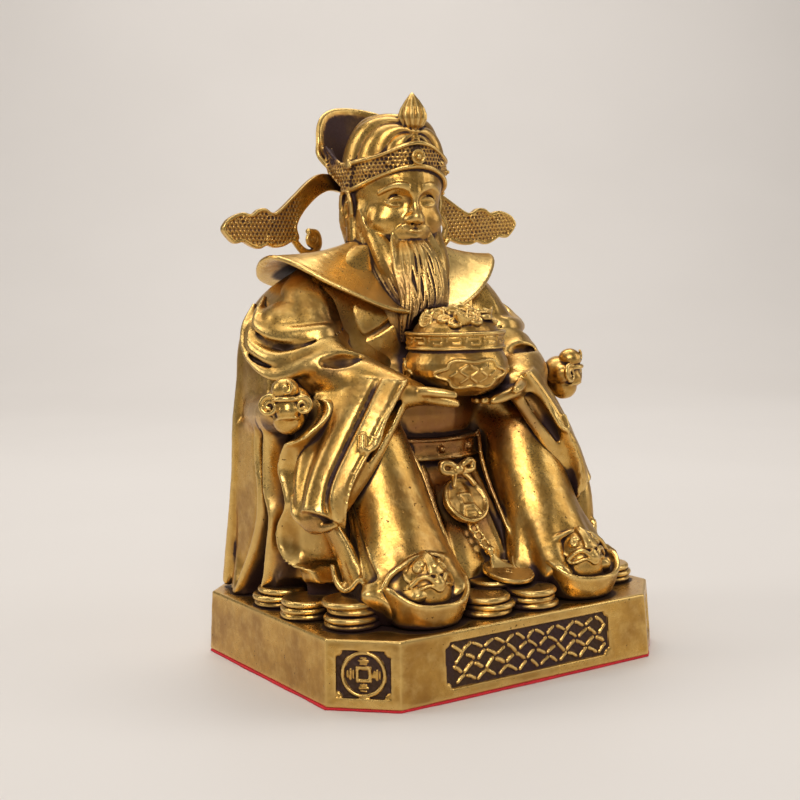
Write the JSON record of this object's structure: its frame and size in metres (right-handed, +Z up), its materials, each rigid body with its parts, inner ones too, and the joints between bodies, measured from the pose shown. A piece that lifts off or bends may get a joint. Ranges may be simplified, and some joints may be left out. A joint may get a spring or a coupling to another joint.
{
  "type": "caishen figure",
  "caption": "Seated cast brass figure of the god of wealth in court dress, holding a heaped bowl of treasure, on a block plinth with cut corners and a felt base",
  "frame": {"origin": "middle of the underside of the felt, where the plinth stands", "axes": "+Z up, +X to the figure's left hand, -Y the way the figure faces"},
  "size_m": [0.209, 0.179, 0.3],
  "materials": {
    "brass": "satin polished on the raised forms, dark brown patina in the recesses",
    "felt": "red felt glued under the plinth"
  },
  "bodies": {
    "root": {"felt_sheet": "felt", "plinth": "brass", "figure": "brass", "treasure_bowl": "brass", "cap_wing_right": "brass", "cap_wing_left": "brass"}
  },
  "joints": []
}
